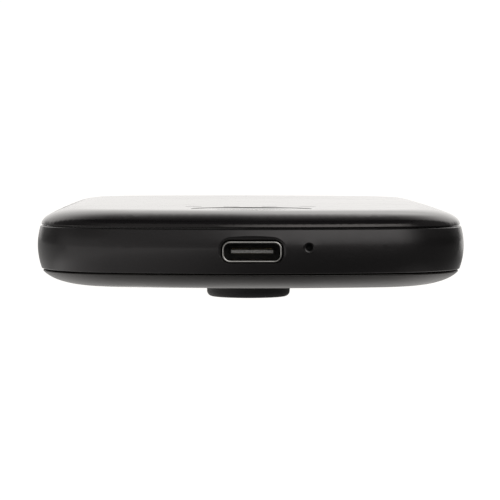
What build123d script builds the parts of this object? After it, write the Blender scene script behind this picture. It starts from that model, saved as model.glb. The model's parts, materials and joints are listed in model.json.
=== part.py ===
"""Mobile hotspot, modelled piece by piece.

A flat rounded case in three shells (glossy top cover, crowned mid frame, satin bottom shell)
stands on one round foot. The USB-C port and the reset pinhole are in the end that faces -Y.
Millimetres, +Z up, origin on the supporting surface under the centre of the foot.
"""
import math
import os

from build123d import *

os.makedirs("parts", exist_ok=True)

# ---------------------------------------------------------------- case outline, seen from above
WIDTH = 66.6            # at the widest line of the mid frame
LENGTH = 108.0          # over the bowed ends
END_RADIUS = 80.0       # gentle bow of the two ends
SIDE_RADIUS = 3000.0    # the two long sides are almost straight
CORNER_RADIUS = 16.0

# ---------------------------------------------------------------- heights, from the table upwards
FOOT_HEIGHT = 4.07      # the underside's distance from the table
SHELL_DEPTH = 2.45
FRAME_HEIGHT = 6.84
COVER_HEIGHT = 2.64
SEAM_GAP = 0.2
EDGE_ROUNDING = 0.12
FRAME_ROUNDING = 0.2
CASE_BOTTOM_Z = FOOT_HEIGHT
LOWER_SEAM_Z = CASE_BOTTOM_Z + SHELL_DEPTH
UPPER_SEAM_Z = LOWER_SEAM_Z + FRAME_HEIGHT
CASE_TOP_Z = UPPER_SEAM_Z + COVER_HEIGHT

# ---------------------------------------------------------------- insets from the case outline
COVER_INSET = 0.58      # outer edge of the top cover
FRAME_CROWN = 0.54      # how far the mid frame draws in over half its height
FRAME_CROWN_RISE = 0.3  # its widest line lies this far above its middle
SHELL_INSET = 0.72      # outer edge of the bottom shell
FRAME_INNER_INSET = 2.2
LIP_THICKNESS = 0.8
LIP_CLEARANCE = 0.1

# ---------------------------------------------------------------- top cover
COVER_EDGE_WIDTH = 6.35     # quarter ellipse round the top edge, measured inwards
COVER_THICKNESS = 1.2
COVER_CEILING_Z = CASE_TOP_Z - COVER_THICKNESS
COVER_SHELF_Z = UPPER_SEAM_Z + 0.74
COVER_POCKET_INSET = 3.8
ADHESIVE_THICKNESS = 0.1

# ---------------------------------------------------------------- bottom shell
SHELL_EDGE_WIDTH = 7.8      # ellipse under the lower edge
SHELL_EDGE_START = 18.0     # degrees round that ellipse where the shell begins
SHELL_FLOOR_Z = CASE_BOTTOM_Z + 1.2
SHELL_LEDGE_Z = SHELL_FLOOR_Z + 0.73
SHELL_LIP_TOP_Z = LOWER_SEAM_Z + 0.58

# ---------------------------------------------------------------- foot
FOOT_RADIUS = 7.15
FOOT_TAPER = 0.15
FOOT_EDGE_RADIUS = 0.9
FOOT_RECESS_DEPTH = 0.5

# ---------------------------------------------------------------- USB-C receptacle
PORT_Z = LOWER_SEAM_Z + 3.38
PORT_FACE_Y = -53.6
PORT_LENGTH = 7.35
PORT_OUTER_WIDTH = 8.94
PORT_OUTER_HEIGHT = 3.16
PORT_CORNER_RADIUS = 1.2
PORT_MOUTH_TOP = 0.75    # how far the rounded mouth spreads above, below and beside the opening
PORT_MOUTH_BOTTOM = 0.4
PORT_MOUTH_SIDE = 0.3
PORT_MOUTH_DEPTH = 0.6
PORT_MOUTH_RISE = 0.07   # the opening's middle above the receptacle's
PORT_WALL = 0.3
TONGUE_WIDTH = 6.69
TONGUE_THICKNESS = 0.7
TONGUE_TIP_THICKNESS = 0.46
TONGUE_TAPER_LENGTH = 0.5
TONGUE_SETBACK = 1.5
CONTACTS_PER_SIDE = 12
CONTACT_PITCH = 0.5

# ---------------------------------------------------------------- board and what stands on it
BOARD_TOP_Z = PORT_Z - PORT_OUTER_HEIGHT / 2 - 0.02
BOARD_LOW_Z = BOARD_TOP_Z - 1.0
BOARD_INSET = 3.4
SHIELD_TOP_Z = BOARD_TOP_Z + 1.5
SHIELD_WALL = 0.2

# ---------------------------------------------------------------- oval power button and its switch
BUTTON_Y = -41.2
BUTTON_HALF_X = 9.3
BUTTON_HALF_Y = 7.0
BUTTON_GAP = 0.15
BUTTON_TOP_Z = CASE_TOP_Z - 0.05
BUTTON_FLANGE = 0.6
BUTTON_TRAVEL = 0.3
SWITCH_BORE_Z = BOARD_TOP_Z + 2.6
SWITCH_BODY_Z = SWITCH_BORE_Z + 1.0
SWITCH_PLUNGER_Z = SWITCH_BODY_Z + 0.9
SWITCH_PLUNGER_RADIUS = 1.7

# ---------------------------------------------------------------- reset switch
RESET_X = 8.53
RESET_Z = PORT_Z + 0.62
RESET_HOLE_RADIUS = 0.76
RESET_BORE_RADIUS = 0.55
RESET_LEDGE_DEPTH = 0.6
RESET_SWITCH_FRONT_Y = -49.6
RESET_SWITCH_BACK_Y = -46.5
RESET_BORE_DEPTH = 1.2
RESET_TRAVEL = 0.25

# ---------------------------------------------------------------- SIM tray
SIM_Y = 18.0
SIM_PLATE_LOW_Z = BOARD_TOP_Z + 0.3
SIM_PLATE_HIGH_Z = SIM_PLATE_LOW_Z + 0.9
SIM_PLATE_HALF_Y = 5.2
BEZEL_HALF_Y = 6.9
BEZEL_LOW_Z = BOARD_TOP_Z - 0.25
BEZEL_HIGH_Z = BEZEL_LOW_Z + 2.0
BEZEL_BACK_X = WIDTH / 2 - 1.1
CARD_LENGTH = 12.3
CARD_WIDTH = 8.8

# ---------------------------------------------------------------- battery and its tray
BATTERY_HALF_X = 25.0
BATTERY_FRONT_Y = -24.0
BATTERY_BACK_Y = 34.0
TRAY_LOW_Z = BOARD_TOP_Z + 1.8
TRAY_FLOOR_Z = TRAY_LOW_Z + 0.5
TRAY_RIM_Z = TRAY_LOW_Z + 2.6
BATTERY_LOW_Z = TRAY_FLOOR_Z + 0.1
BATTERY_HIGH_Z = BATTERY_LOW_Z + 3.8
BATTERY_BOARD_Z = BATTERY_LOW_Z + 1.3
BATTERY_BOARD_THICKNESS = 0.8
LEAD_X = -15.3
LEAD_PITCH = 1.4
PLUG_BACK_Y = -37.2

# ---------------------------------------------------------------- fasteners
CORNER_SCREWS = [(x, y) for x in (-21.5, 21.5) for y in (-41.0, 41.0)]
TRAY_SCREWS = [(x, y) for x in (-27.9, 27.9) for y in (-16.2, 36.0)]
SCREW_RADIUS = 0.8
SCREW_HEAD_RADIUS = 1.5
SCREW_TIP_Z = BOARD_TOP_Z + 3.0
BOSS_RADIUS = 2.5
BOSS_TOP_Z = UPPER_SEAM_Z - 0.4

# ---------------------------------------------------------------- antennas
ANTENNA_TOP_Z = UPPER_SEAM_Z - 0.6

# ---------------------------------------------------------------- status lights
LIGHT_Y = -30.0
LIGHT_X = [-9.0, -3.0, 3.0, 9.0]

CUT = 1.0               # how far a cutting tool runs past the face it opens


# ================================================================ shared shapes
def block(x_span, y_span, z_span):
    """Box between pairs of coordinates."""
    size = [high - low for low, high in (x_span, y_span, z_span)]
    centre = [(high + low) / 2 for low, high in (x_span, y_span, z_span)]
    return Pos(*centre) * Box(*size)


def post(x, y, radius, z_low, z_high):
    """Upright cylinder between two heights."""
    return Pos(x, y, (z_low + z_high) / 2) * Cylinder(radius, z_high - z_low)


def outline(inset=0.0, z=0.0):
    """The case outline, moved inwards by inset, as a face at height z."""
    end_centre = LENGTH / 2 - END_RADIUS
    side_centre = WIDTH / 2 - SIDE_RADIUS
    end_radius = END_RADIUS - inset
    side_radius = SIDE_RADIUS - inset
    between = math.hypot(side_centre, end_centre)
    along = (side_radius ** 2 - end_radius ** 2 + between ** 2) / (2 * between)
    across = math.sqrt(side_radius ** 2 - along ** 2)
    ux, uy = -side_centre / between, end_centre / between
    corner_x = side_centre + along * ux - across * uy
    corner_y = along * uy + across * ux
    half_w, half_l = WIDTH / 2 - inset, LENGTH / 2 - inset
    with BuildSketch(Plane.XY.offset(z)) as sketch:
        with BuildLine():
            ThreePointArc((-corner_x, -corner_y), (0, -half_l), (corner_x, -corner_y))
            ThreePointArc((corner_x, -corner_y), (half_w, 0), (corner_x, corner_y))
            ThreePointArc((corner_x, corner_y), (0, half_l), (-corner_x, corner_y))
            ThreePointArc((-corner_x, corner_y), (-half_w, 0), (-corner_x, -corner_y))
        make_face()
        fillet(sketch.vertices(), CORNER_RADIUS - inset)
    return sketch.sketch.face()


def slab(inset, z_low, z_high):
    """Upright prism of the case outline."""
    return extrude(outline(inset, z_low), z_high - z_low, dir=(0, 0, 1))


def ring(outer_inset, inner_inset, z_low, z_high):
    """Upright wall that follows the case outline."""
    return slab(outer_inset, z_low, z_high) - slab(inner_inset, z_low - CUT, z_high + CUT)


def end_plane(x, y, z):
    """Sketch plane that faces along +Y."""
    return Plane(origin=(x, y, z), x_dir=(1, 0, 0), z_dir=(0, 1, 0))


def port_section(width, height, y, z=PORT_Z):
    """Round-cornered section of the port, whose corners keep one centre at every size."""
    radius = PORT_CORNER_RADIUS + (height - PORT_OUTER_HEIGHT) / 2
    return end_plane(0, y, z) * RectangleRounded(width, height, radius)


def port_prism(width, height, y_low, y_high, z=PORT_Z):
    """Prism of the port's section."""
    return extrude(port_section(width, height, y_low, z), y_high - y_low, dir=(0, 1, 0))


def oval(half_x, half_y, z_low, z_high):
    """Upright prism of the power button's oval."""
    section = Pos(0, BUTTON_Y, z_low) * Ellipse(half_x, half_y)
    return extrude(section, z_high - z_low, dir=(0, 0, 1))


def screw(radius, head_radius, head_low_z, head_height, tip_z):
    """Pan-head screw on the Z axis, with a six-lobe recess in the head's free face."""
    points_up = tip_z < head_low_z
    free_z = head_low_z + head_height if points_up else head_low_z
    inner_z = head_low_z if points_up else head_low_z + head_height
    body = post(0, 0, head_radius, min(free_z, inner_z), max(free_z, inner_z))
    rim = body.edges().filter_by(GeomType.CIRCLE).filter_by_position(Axis.Z, free_z - 0.01, free_z + 0.01)
    body = fillet(rim, head_height * 0.4)
    body += post(0, 0, radius, min(inner_z, tip_z), max(inner_z, tip_z))
    depth = head_height * 0.55
    low, high = (free_z - depth, free_z + CUT) if points_up else (free_z - CUT, free_z + depth)
    body -= post(0, 0, head_radius * 0.42, low, high)
    for lobe in PolarLocations(head_radius * 0.4, 6):
        body -= lobe * post(0, 0, head_radius * 0.14, low, high)
    return body


def save(shape, node):
    """Write one piece, or one group of identical pieces, as its own node."""
    shape.label = node
    export_step(shape, f"parts/{node}.step")


# ================================================================ the three shells
def cover_blank():
    """Outer form of the top cover: a quarter ellipse rolled round the edge, flat on top."""
    low_z = UPPER_SEAM_Z + SEAM_GAP / 2
    rise = CASE_TOP_Z - low_z
    sections = []
    for step in range(9):
        turn = math.radians(90 * step / 8)
        inset = COVER_INSET + COVER_EDGE_WIDTH * (1 - math.cos(turn))
        sections.append(outline(inset, low_z + rise * math.sin(turn)))
    blank = loft(sections)
    return fillet(blank.edges().group_by(Axis.Z)[0], EDGE_ROUNDING)


def top_cover():
    low_z = UPPER_SEAM_Z - CUT
    rabbet = FRAME_INNER_INSET - LIP_THICKNESS - LIP_CLEARANCE
    cover = cover_blank()
    cover -= slab(rabbet, low_z, COVER_SHELF_Z)
    cover -= slab(COVER_POCKET_INSET, low_z, COVER_CEILING_Z)
    cover -= oval(BUTTON_HALF_X, BUTTON_HALF_Y, COVER_CEILING_Z - CUT, CASE_TOP_Z + CUT)
    bevel = 0.05
    cover -= loft([
        Pos(0, BUTTON_Y, CASE_TOP_Z - bevel) * Ellipse(BUTTON_HALF_X, BUTTON_HALF_Y),
        Pos(0, BUTTON_Y, CASE_TOP_Z + bevel) * Ellipse(BUTTON_HALF_X + 2 * bevel, BUTTON_HALF_Y + 2 * bevel),
    ])
    for x in LIGHT_X:
        window = Pos(x, LIGHT_Y, COVER_CEILING_Z - CUT) * SlotOverall(2.6, 0.9)
        cover -= extrude(window, CASE_TOP_Z - COVER_CEILING_Z + 2 * CUT, dir=(0, 0, 1))
    return cover


def frame_blank():
    """Outer form of the mid frame, solid: an arc-crowned band between the two seams."""
    low_z = LOWER_SEAM_Z + SEAM_GAP / 2
    high_z = UPPER_SEAM_Z - SEAM_GAP / 2
    sections = []
    for step in range(7):
        along = step / 6
        z = low_z + along * (high_z - low_z)
        from_widest = z - (low_z + high_z) / 2 - FRAME_CROWN_RISE
        inset = FRAME_CROWN * (2 * from_widest / (high_z - low_z)) ** 2
        sections.append(outline(inset, z))
    blank = loft(sections)
    rims = blank.edges().group_by(Axis.Z)
    return fillet(rims[0] + rims[-1], FRAME_ROUNDING)


def frame_boss(x, y):
    """Screw boss above the board, joined to the wall behind it by a web."""
    low_z, high_z = BOARD_TOP_Z, BOSS_TOP_Z
    reach = 8.0
    heading = math.degrees(math.atan2(math.copysign(1, y), math.copysign(1, x)))
    web = Pos(x, y, 0) * Rot(0, 0, heading) * block((0, reach), (-0.9, 0.9), (low_z, high_z))
    return post(x, y, BOSS_RADIUS, low_z, high_z) + web


def mid_frame():
    frame = frame_blank()
    floor_z, roof_z = LOWER_SEAM_Z, UPPER_SEAM_Z - SEAM_GAP / 2
    frame -= slab(FRAME_INNER_INSET, floor_z - CUT, roof_z + CUT)
    lip_outer = FRAME_INNER_INSET - LIP_THICKNESS
    frame += ring(lip_outer, FRAME_INNER_INSET, roof_z - CUT, COVER_SHELF_Z - ADHESIVE_THICKNESS)
    inside = slab(FRAME_INNER_INSET - 0.2, floor_z, roof_z)
    for x, y in CORNER_SCREWS:
        frame += frame_boss(x, y) & inside
    for x, y in TRAY_SCREWS:
        side = math.copysign(WIDTH / 2, x)
        web = block(sorted((x, side)), (y - 1.6, y + 1.6), (BOARD_TOP_Z + 0.1, TRAY_LOW_Z))
        frame += (post(x, y, 1.9, BOARD_TOP_Z + 0.1, TRAY_LOW_Z) + web) & inside
    for x, y in CORNER_SCREWS:
        frame -= post(x, y, SCREW_RADIUS + 0.05, BOARD_TOP_Z - CUT, SCREW_TIP_Z + 0.4)
    for x, y in TRAY_SCREWS:
        frame -= post(x, y, 0.75, BOARD_TOP_Z + 0.6, TRAY_LOW_Z + CUT)
    frame -= port_opening()
    frame -= reset_opening()
    frame -= sim_opening()
    return frame


def port_opening():
    """Clearance round the USB-C shell, with a rounded mouth."""
    gap = 0.26
    wide, high = PORT_OUTER_WIDTH + gap, PORT_OUTER_HEIGHT + gap
    z = PORT_Z + PORT_MOUTH_RISE
    face_y = -LENGTH / 2 + 0.2
    opening = port_prism(wide, high, -LENGTH / 2 - CUT, face_y + 4.0, z)
    spread = [(-0.3, 1.5)]   # distance behind the face, and share of the full spread there
    for step in range(6):
        turn = math.radians(90 * step / 5)
        spread.append((PORT_MOUTH_DEPTH * (1 - math.cos(turn)), 1 - 1.05 * math.sin(turn)))
    mouth = []
    for behind, share in spread:
        taller = (PORT_MOUTH_TOP + PORT_MOUTH_BOTTOM) * share
        rise = (PORT_MOUTH_TOP - PORT_MOUTH_BOTTOM) / 2 * share
        mouth.append(port_section(wide + 2 * PORT_MOUTH_SIDE * share, high + taller, face_y + behind, z + rise))
    return opening + loft(mouth)


def reset_opening():
    """Pinhole with a bevelled rim, and a shallow sloped ledge where it narrows."""
    face_y = -LENGTH / 2 + RESET_X ** 2 / (2 * END_RADIUS)
    ledge_y = face_y + RESET_LEDGE_DEPTH
    wide = Pos(RESET_X, (-LENGTH / 2 - 0.5 + ledge_y) / 2, RESET_Z) * Rot(90, 0, 0)
    wide = wide * Cylinder(RESET_HOLE_RADIUS, ledge_y + LENGTH / 2 + 0.5)
    ledge = Pos(RESET_X, ledge_y + 0.05, RESET_Z) * Rot(90, 0, 0)
    ledge = ledge * Cone(RESET_BORE_RADIUS, RESET_HOLE_RADIUS, 0.1)
    narrow = Pos(RESET_X, -LENGTH / 2 + 2.25, RESET_Z) * Rot(90, 0, 0)
    narrow = narrow * Cylinder(RESET_BORE_RADIUS, 2.5)
    rim = Pos(RESET_X, face_y, RESET_Z) * Rot(90, 0, 0)
    return wide + ledge + narrow + rim * Cone(RESET_HOLE_RADIUS - 0.05, RESET_HOLE_RADIUS + 0.25, 0.3)


def sim_opening():
    """Slot for the tray plate, and a stepped recess for the tray's bezel."""
    gap = 0.15
    slot = block((WIDTH / 2 - 4, WIDTH / 2), (SIM_Y - SIM_PLATE_HALF_Y - gap, SIM_Y + SIM_PLATE_HALF_Y + gap),
                 (SIM_PLATE_LOW_Z - 0.1, SIM_PLATE_HIGH_Z + 0.1))
    recess = bezel_block(gap, BEZEL_BACK_X - 0.1)
    return slot + recess


def bezel_block(grow, back_x):
    """Round-ended block that the bezel is cut from."""
    width = 2 * (BEZEL_HALF_Y + grow)
    height = BEZEL_HIGH_Z - BEZEL_LOW_Z + 2 * grow
    section = Plane.YZ.offset(back_x) * Pos(SIM_Y, (BEZEL_LOW_Z + BEZEL_HIGH_Z) / 2)
    return extrude(section * SlotOverall(width, height), WIDTH / 2 + CUT - back_x, dir=(1, 0, 0))


def shell_blank():
    """Outer form of the bottom shell: part of a wide ellipse, then a flat underside."""
    top_z = LOWER_SEAM_Z - SEAM_GAP / 2
    first = math.radians(SHELL_EDGE_START)
    fall = (top_z - CASE_BOTTOM_Z) / (1 - math.sin(first))
    sections = []
    for step in range(9):
        turn = first + (math.pi / 2 - first) * step / 8
        inset = SHELL_INSET + SHELL_EDGE_WIDTH * (math.cos(first) - math.cos(turn))
        sections.append(outline(inset, top_z - fall * (math.sin(turn) - math.sin(first))))
    blank = loft(sections)
    return fillet(blank.edges().group_by(Axis.Z)[-1], EDGE_ROUNDING)


def bottom_shell():
    top_z = LOWER_SEAM_Z - SEAM_GAP / 2
    lip_outer = FRAME_INNER_INSET + LIP_CLEARANCE
    lip_inner = lip_outer + LIP_THICKNESS
    shell = shell_blank()
    shell += ring(lip_outer, lip_inner, top_z - 0.2, SHELL_LIP_TOP_Z)
    shell -= slab(lip_inner, SHELL_LEDGE_Z, SHELL_LIP_TOP_Z + CUT)
    shell -= slab(6.0, SHELL_FLOOR_Z, SHELL_LIP_TOP_Z + CUT)
    for x, y in CORNER_SCREWS:
        shell += post(x, y, BOSS_RADIUS + 0.2, SHELL_FLOOR_Z - 0.2, BOARD_LOW_Z)
    for x in (-13.0, 13.0):
        shell += block((x - 0.5, x + 0.5), (-40.0, 40.0), (SHELL_FLOOR_Z - 0.2, SHELL_FLOOR_Z + 0.8))
    for x, y in CORNER_SCREWS:
        shell -= post(x, y, SCREW_RADIUS + 0.1, CASE_BOTTOM_Z - CUT, BOARD_LOW_Z + CUT)
        shell -= post(x, y, SCREW_HEAD_RADIUS + 0.2, CASE_BOTTOM_Z - CUT, SHELL_FLOOR_Z)
    shell -= post(0, 0, FOOT_RADIUS + 0.1, CASE_BOTTOM_Z - CUT, CASE_BOTTOM_Z + FOOT_RECESS_DEPTH)
    shell -= label_block(0.15, CASE_BOTTOM_Z - CUT, CASE_BOTTOM_Z + 0.14)
    return shell


# ================================================================ outside fittings
def label_block(grow, z_low, z_high):
    """Round-cornered plate for the blank label on the underside."""
    plate = Pos(0, 27.0, z_low) * RectangleRounded(34 + 2 * grow, 17 + 2 * grow, 1.5 + grow)
    return extrude(plate, z_high - z_low, dir=(0, 0, 1))


def rubber_foot():
    """Round puck, slightly tapered, with a rounded bottom edge."""
    top_z = CASE_BOTTOM_Z + FOOT_RECESS_DEPTH - ADHESIVE_THICKNESS
    puck = Pos(0, 0, top_z / 2) * Cone(FOOT_RADIUS - FOOT_TAPER, FOOT_RADIUS, top_z)
    return fillet(puck.edges().group_by(Axis.Z)[0], FOOT_EDGE_RADIUS)


def foot_adhesive():
    low_z = CASE_BOTTOM_Z + FOOT_RECESS_DEPTH - ADHESIVE_THICKNESS
    return post(0, 0, FOOT_RADIUS - 0.2, low_z, low_z + ADHESIVE_THICKNESS)


def cover_adhesive():
    high_z = COVER_SHELF_Z
    outer = FRAME_INNER_INSET - LIP_THICKNESS + 0.05
    return ring(outer, FRAME_INNER_INSET - 0.05, high_z - ADHESIVE_THICKNESS, high_z)


def power_button():
    """Dished oval cap, a flange that keeps it under the cover, and a post for the switch."""
    flange_low, flange_high = COVER_SHELF_Z - 0.05, COVER_CEILING_Z - 0.1
    half_x, half_y = BUTTON_HALF_X - BUTTON_GAP, BUTTON_HALF_Y - BUTTON_GAP
    cap = oval(half_x, half_y, flange_high, BUTTON_TOP_Z)
    cap = chamfer(cap.edges().group_by(Axis.Z)[-1], 0.1)
    dish_radius, dish_depth = 300.0, 0.1
    cap -= Pos(0, BUTTON_Y, BUTTON_TOP_Z + dish_radius - dish_depth) * Sphere(dish_radius)
    flange = oval(BUTTON_HALF_X + BUTTON_FLANGE, BUTTON_HALF_Y + BUTTON_FLANGE, flange_low, flange_high)
    hollow = oval(half_x - 1.4, half_y - 1.4, flange_low - CUT, flange_high + 0.1)
    stem = post(0, BUTTON_Y, 2.0, SWITCH_PLUNGER_Z, flange_high + 0.2)
    ribs = block((-half_x + 1, half_x - 1), (BUTTON_Y - 0.5, BUTTON_Y + 0.5), (flange_low, flange_high + 0.2))
    ribs += block((-0.5, 0.5), (BUTTON_Y - half_y + 1, BUTTON_Y + half_y - 1), (flange_low, flange_high + 0.2))
    return cap + flange - hollow + stem + ribs


def power_switch_body():
    body = block((-3, 3), (BUTTON_Y - 3, BUTTON_Y + 3), (BOARD_TOP_Z, SWITCH_BODY_Z))
    body = chamfer(body.edges().filter_by(Axis.Z), 0.4)
    body -= post(0, BUTTON_Y, SWITCH_PLUNGER_RADIUS + 0.06, SWITCH_BORE_Z, SWITCH_BODY_Z + CUT)
    for x in (-3.0, 3.0):
        for y in (-2.2, 2.2):
            outer = x + math.copysign(0.7, x)
            body += block(sorted((x * 0.8, outer)), (BUTTON_Y + y - 0.35, BUTTON_Y + y + 0.35),
                          (BOARD_TOP_Z, BOARD_TOP_Z + 0.2))
    return body


def power_switch_plunger():
    return post(0, BUTTON_Y, SWITCH_PLUNGER_RADIUS, SWITCH_BORE_Z + BUTTON_TRAVEL + 0.1, SWITCH_PLUNGER_Z)


def light_guide():
    """Clear bar under the cover with four windows up and four legs down to the lights."""
    bar_low, bar_high = COVER_CEILING_Z - 0.8, COVER_CEILING_Z - 0.05
    leg_foot = BOARD_TOP_Z + 0.8
    guide = block((-11.5, 11.5), (LIGHT_Y - 1.2, LIGHT_Y + 1.2), (bar_low, bar_high))
    guide = chamfer(guide.edges().filter_by(Axis.Z), 0.5)
    for x in LIGHT_X:
        window = Pos(x, LIGHT_Y, bar_low) * SlotOverall(2.5, 0.8)
        guide += extrude(window, CASE_TOP_Z - 0.03 - bar_low, dir=(0, 0, 1))
        guide += block((x - 1.0, x + 1.0), (LIGHT_Y - 0.7, LIGHT_Y + 0.7), (leg_foot, bar_low))
    return guide


def status_lights():
    z_span = (BOARD_TOP_Z, BOARD_TOP_Z + 0.65)
    return Compound(children=[block((x - 0.8, x + 0.8), (LIGHT_Y - 0.4, LIGHT_Y + 0.4), z_span) for x in LIGHT_X])


# ================================================================ USB-C receptacle
def usb_c_shell():
    """Drawn steel tube with four legs that stand in the board."""
    back_y = PORT_FACE_Y + PORT_LENGTH
    shell = port_prism(PORT_OUTER_WIDTH, PORT_OUTER_HEIGHT, PORT_FACE_Y, back_y)
    inner_width = PORT_OUTER_WIDTH - 2 * PORT_WALL
    inner_height = PORT_OUTER_HEIGHT - 2 * PORT_WALL
    shell -= port_prism(inner_width, inner_height, PORT_FACE_Y - CUT, back_y + CUT)
    shell = fillet(shell.edges().group_by(Axis.Y)[0], PORT_WALL * 0.45)
    for x, y in usb_legs():
        outer = x + math.copysign(0.3, x)
        shell += block(sorted((x, outer)), (y - 0.5, y + 0.5), (BOARD_LOW_Z, PORT_Z))
    return shell


def usb_legs():
    """Inner face and middle of each leg."""
    side = PORT_OUTER_WIDTH / 2 - 0.15
    return [(x, PORT_FACE_Y + y) for x in (-side, side) for y in (4.2, 6.7)]


def usb_c_tongue():
    """Insulator block at the back of the shell, with the blade that carries the contacts."""
    back_y = PORT_FACE_Y + PORT_LENGTH
    clearance = 0.02
    width = PORT_OUTER_WIDTH - 2 * PORT_WALL - clearance
    height = PORT_OUTER_HEIGHT - 2 * PORT_WALL - clearance
    block_front = back_y - 2.0
    tip_y = PORT_FACE_Y + TONGUE_SETBACK
    body = port_prism(width, height, block_front, back_y)
    blade = tongue_blade(tip_y, block_front + 0.2)
    step = block((-TONGUE_WIDTH / 2, TONGUE_WIDTH / 2), (block_front - 1.0, block_front + 0.2),
                 (PORT_Z - 0.65, PORT_Z + 0.65))
    return body + blade + step - usb_contact_bars(0.01)


def tongue_blade(tip_y, back_y):
    """Flat blade that thins towards its tip, with its two front corners cut off."""
    half, tip_half = TONGUE_THICKNESS / 2, TONGUE_TIP_THICKNESS / 2
    full_y = tip_y + TONGUE_TAPER_LENGTH
    profile = [(tip_y, -tip_half), (tip_y, tip_half), (full_y, half), (back_y, half), (back_y, -half), (full_y, -half)]
    side = Plane.YZ * Polygon(*[(y, PORT_Z + z) for y, z in profile], align=None)
    blade = extrude(side, TONGUE_WIDTH / 2, both=True)
    return chamfer(blade.faces().sort_by(Axis.Y)[0].edges().filter_by(Axis.Z), 0.25)


def usb_contact_bars(grow):
    """The flat bars on both faces of the blade, as one compound."""
    half = TONGUE_THICKNESS / 2
    front_y = PORT_FACE_Y + TONGUE_SETBACK + 0.7
    back_y = PORT_FACE_Y + PORT_LENGTH - 3.1
    first_x = -CONTACT_PITCH * (CONTACTS_PER_SIDE - 1) / 2
    bars = []
    for index in range(CONTACTS_PER_SIDE):
        x = first_x + index * CONTACT_PITCH
        for side in (-1, 1):
            z_span = sorted((PORT_Z + side * (half - 0.06 - grow), PORT_Z + side * (half + 0.02)))
            bars.append(block((x - 0.12 - grow, x + 0.12 + grow), (front_y - grow, back_y + grow), z_span))
    return Compound(children=bars)


def usb_c_contacts():
    return usb_contact_bars(0.0)


def usb_gasket():
    """Soft ring between the frame wall and the board, round the receptacle."""
    low_y, high_y = -LENGTH / 2 + 2.45, -LENGTH / 2 + 3.25
    ring_body = port_prism(PORT_OUTER_WIDTH + 1.9, PORT_OUTER_HEIGHT + 1.9, low_y, high_y)
    return ring_body - port_prism(PORT_OUTER_WIDTH + 0.04, PORT_OUTER_HEIGHT + 0.04, low_y - CUT, high_y + CUT)


# ================================================================ reset switch
def reset_switch_body():
    front_y, back_y = RESET_SWITCH_FRONT_Y, RESET_SWITCH_BACK_Y
    body = block((RESET_X - 2.2, RESET_X + 2.2), (front_y, back_y), (BOARD_TOP_Z, RESET_Z + 1.5))
    body = chamfer(body.edges().filter_by(Axis.Y), 0.3)
    bore = Pos(RESET_X, front_y + RESET_BORE_DEPTH / 2, RESET_Z) * Rot(90, 0, 0)
    body -= bore * Cylinder(0.86, RESET_BORE_DEPTH)
    for x in (-1.4, 1.4):
        body += block((RESET_X + x - 0.35, RESET_X + x + 0.35), (back_y - 0.1, back_y + 0.6),
                      (BOARD_TOP_Z, BOARD_TOP_Z + 0.2))
    return body


def reset_plunger():
    back_y = RESET_SWITCH_FRONT_Y + RESET_BORE_DEPTH - RESET_TRAVEL - 0.1
    front_y = RESET_SWITCH_FRONT_Y - 0.9
    stem = Pos(RESET_X, (front_y + back_y) / 2, RESET_Z) * Rot(90, 0, 0) * Cylinder(0.8, back_y - front_y)
    return fillet(stem.edges().group_by(Axis.Y)[0], 0.2)


# ================================================================ SIM tray
def sim_tray():
    """Plate with a pocket for the card, and a bezel flush with the side of the case."""
    plate = block((15.0, BEZEL_BACK_X + 0.2), (SIM_Y - SIM_PLATE_HALF_Y, SIM_Y + SIM_PLATE_HALF_Y),
                  (SIM_PLATE_LOW_Z, SIM_PLATE_HIGH_Z))
    inner_end = plate.edges().filter_by(Axis.Z).group_by(Axis.X)[0]
    plate = chamfer(inner_end, 0.8)
    plate -= sim_card_block(0.06, SIM_PLATE_LOW_Z + 0.2, SIM_PLATE_HIGH_Z + CUT)
    bezel = bezel_block(0.0, BEZEL_BACK_X) & frame_blank()
    groove = Pos(WIDTH / 2 + 0.12, SIM_Y, BEZEL_LOW_Z + 0.55) * Rot(90, 0, 0) * Cylinder(0.45, 7.0)
    return plate + bezel - groove


def sim_card_block(grow, z_low, z_high):
    """Card outline with its one cut corner."""
    length, width = CARD_LENGTH + 2 * grow, CARD_WIDTH + 2 * grow
    card = block((16.2 - grow, 16.2 - grow + length), (SIM_Y - width / 2, SIM_Y + width / 2), (z_low, z_high))
    corner = card.edges().filter_by(Axis.Z).sort_by(Axis.X)[:2].sort_by(Axis.Y)[0]
    return chamfer(corner, 1.65)


def sim_card():
    return sim_card_block(0.0, SIM_PLATE_LOW_Z + 0.2, SIM_PLATE_LOW_Z + 0.87)


def sim_reader():
    """Folded cage on the board, open towards the slot in the frame."""
    half_y = SIM_PLATE_HALF_Y + 0.15
    cage = block((14.0, 29.0), (SIM_Y - half_y - 0.9, SIM_Y + half_y + 0.9), (BOARD_TOP_Z, SHIELD_TOP_Z))
    cage -= block((14.6, 29.0 + CUT), (SIM_Y - half_y, SIM_Y + half_y), (BOARD_TOP_Z + 0.2, SHIELD_TOP_Z - 0.2))
    for y in (-2.6, 2.6):
        cage -= block((17.0, 26.0), (SIM_Y + y - 1.2, SIM_Y + y + 1.2), (SHIELD_TOP_Z - 0.3, SHIELD_TOP_Z + CUT))
    return cage


# ================================================================ board and electronics
def main_board():
    board = slab(BOARD_INSET, BOARD_LOW_Z, BOARD_TOP_Z)
    for x, y in CORNER_SCREWS:
        board -= post(x, y, SCREW_RADIUS + 0.15, BOARD_LOW_Z - CUT, BOARD_TOP_Z + CUT)
    for x, y in usb_legs():
        centre = x + math.copysign(0.15, x)
        board -= block((centre - 0.25, centre + 0.25), (y - 0.6, y + 0.6), (BOARD_LOW_Z - CUT, BOARD_TOP_Z + CUT))
    return board


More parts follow.
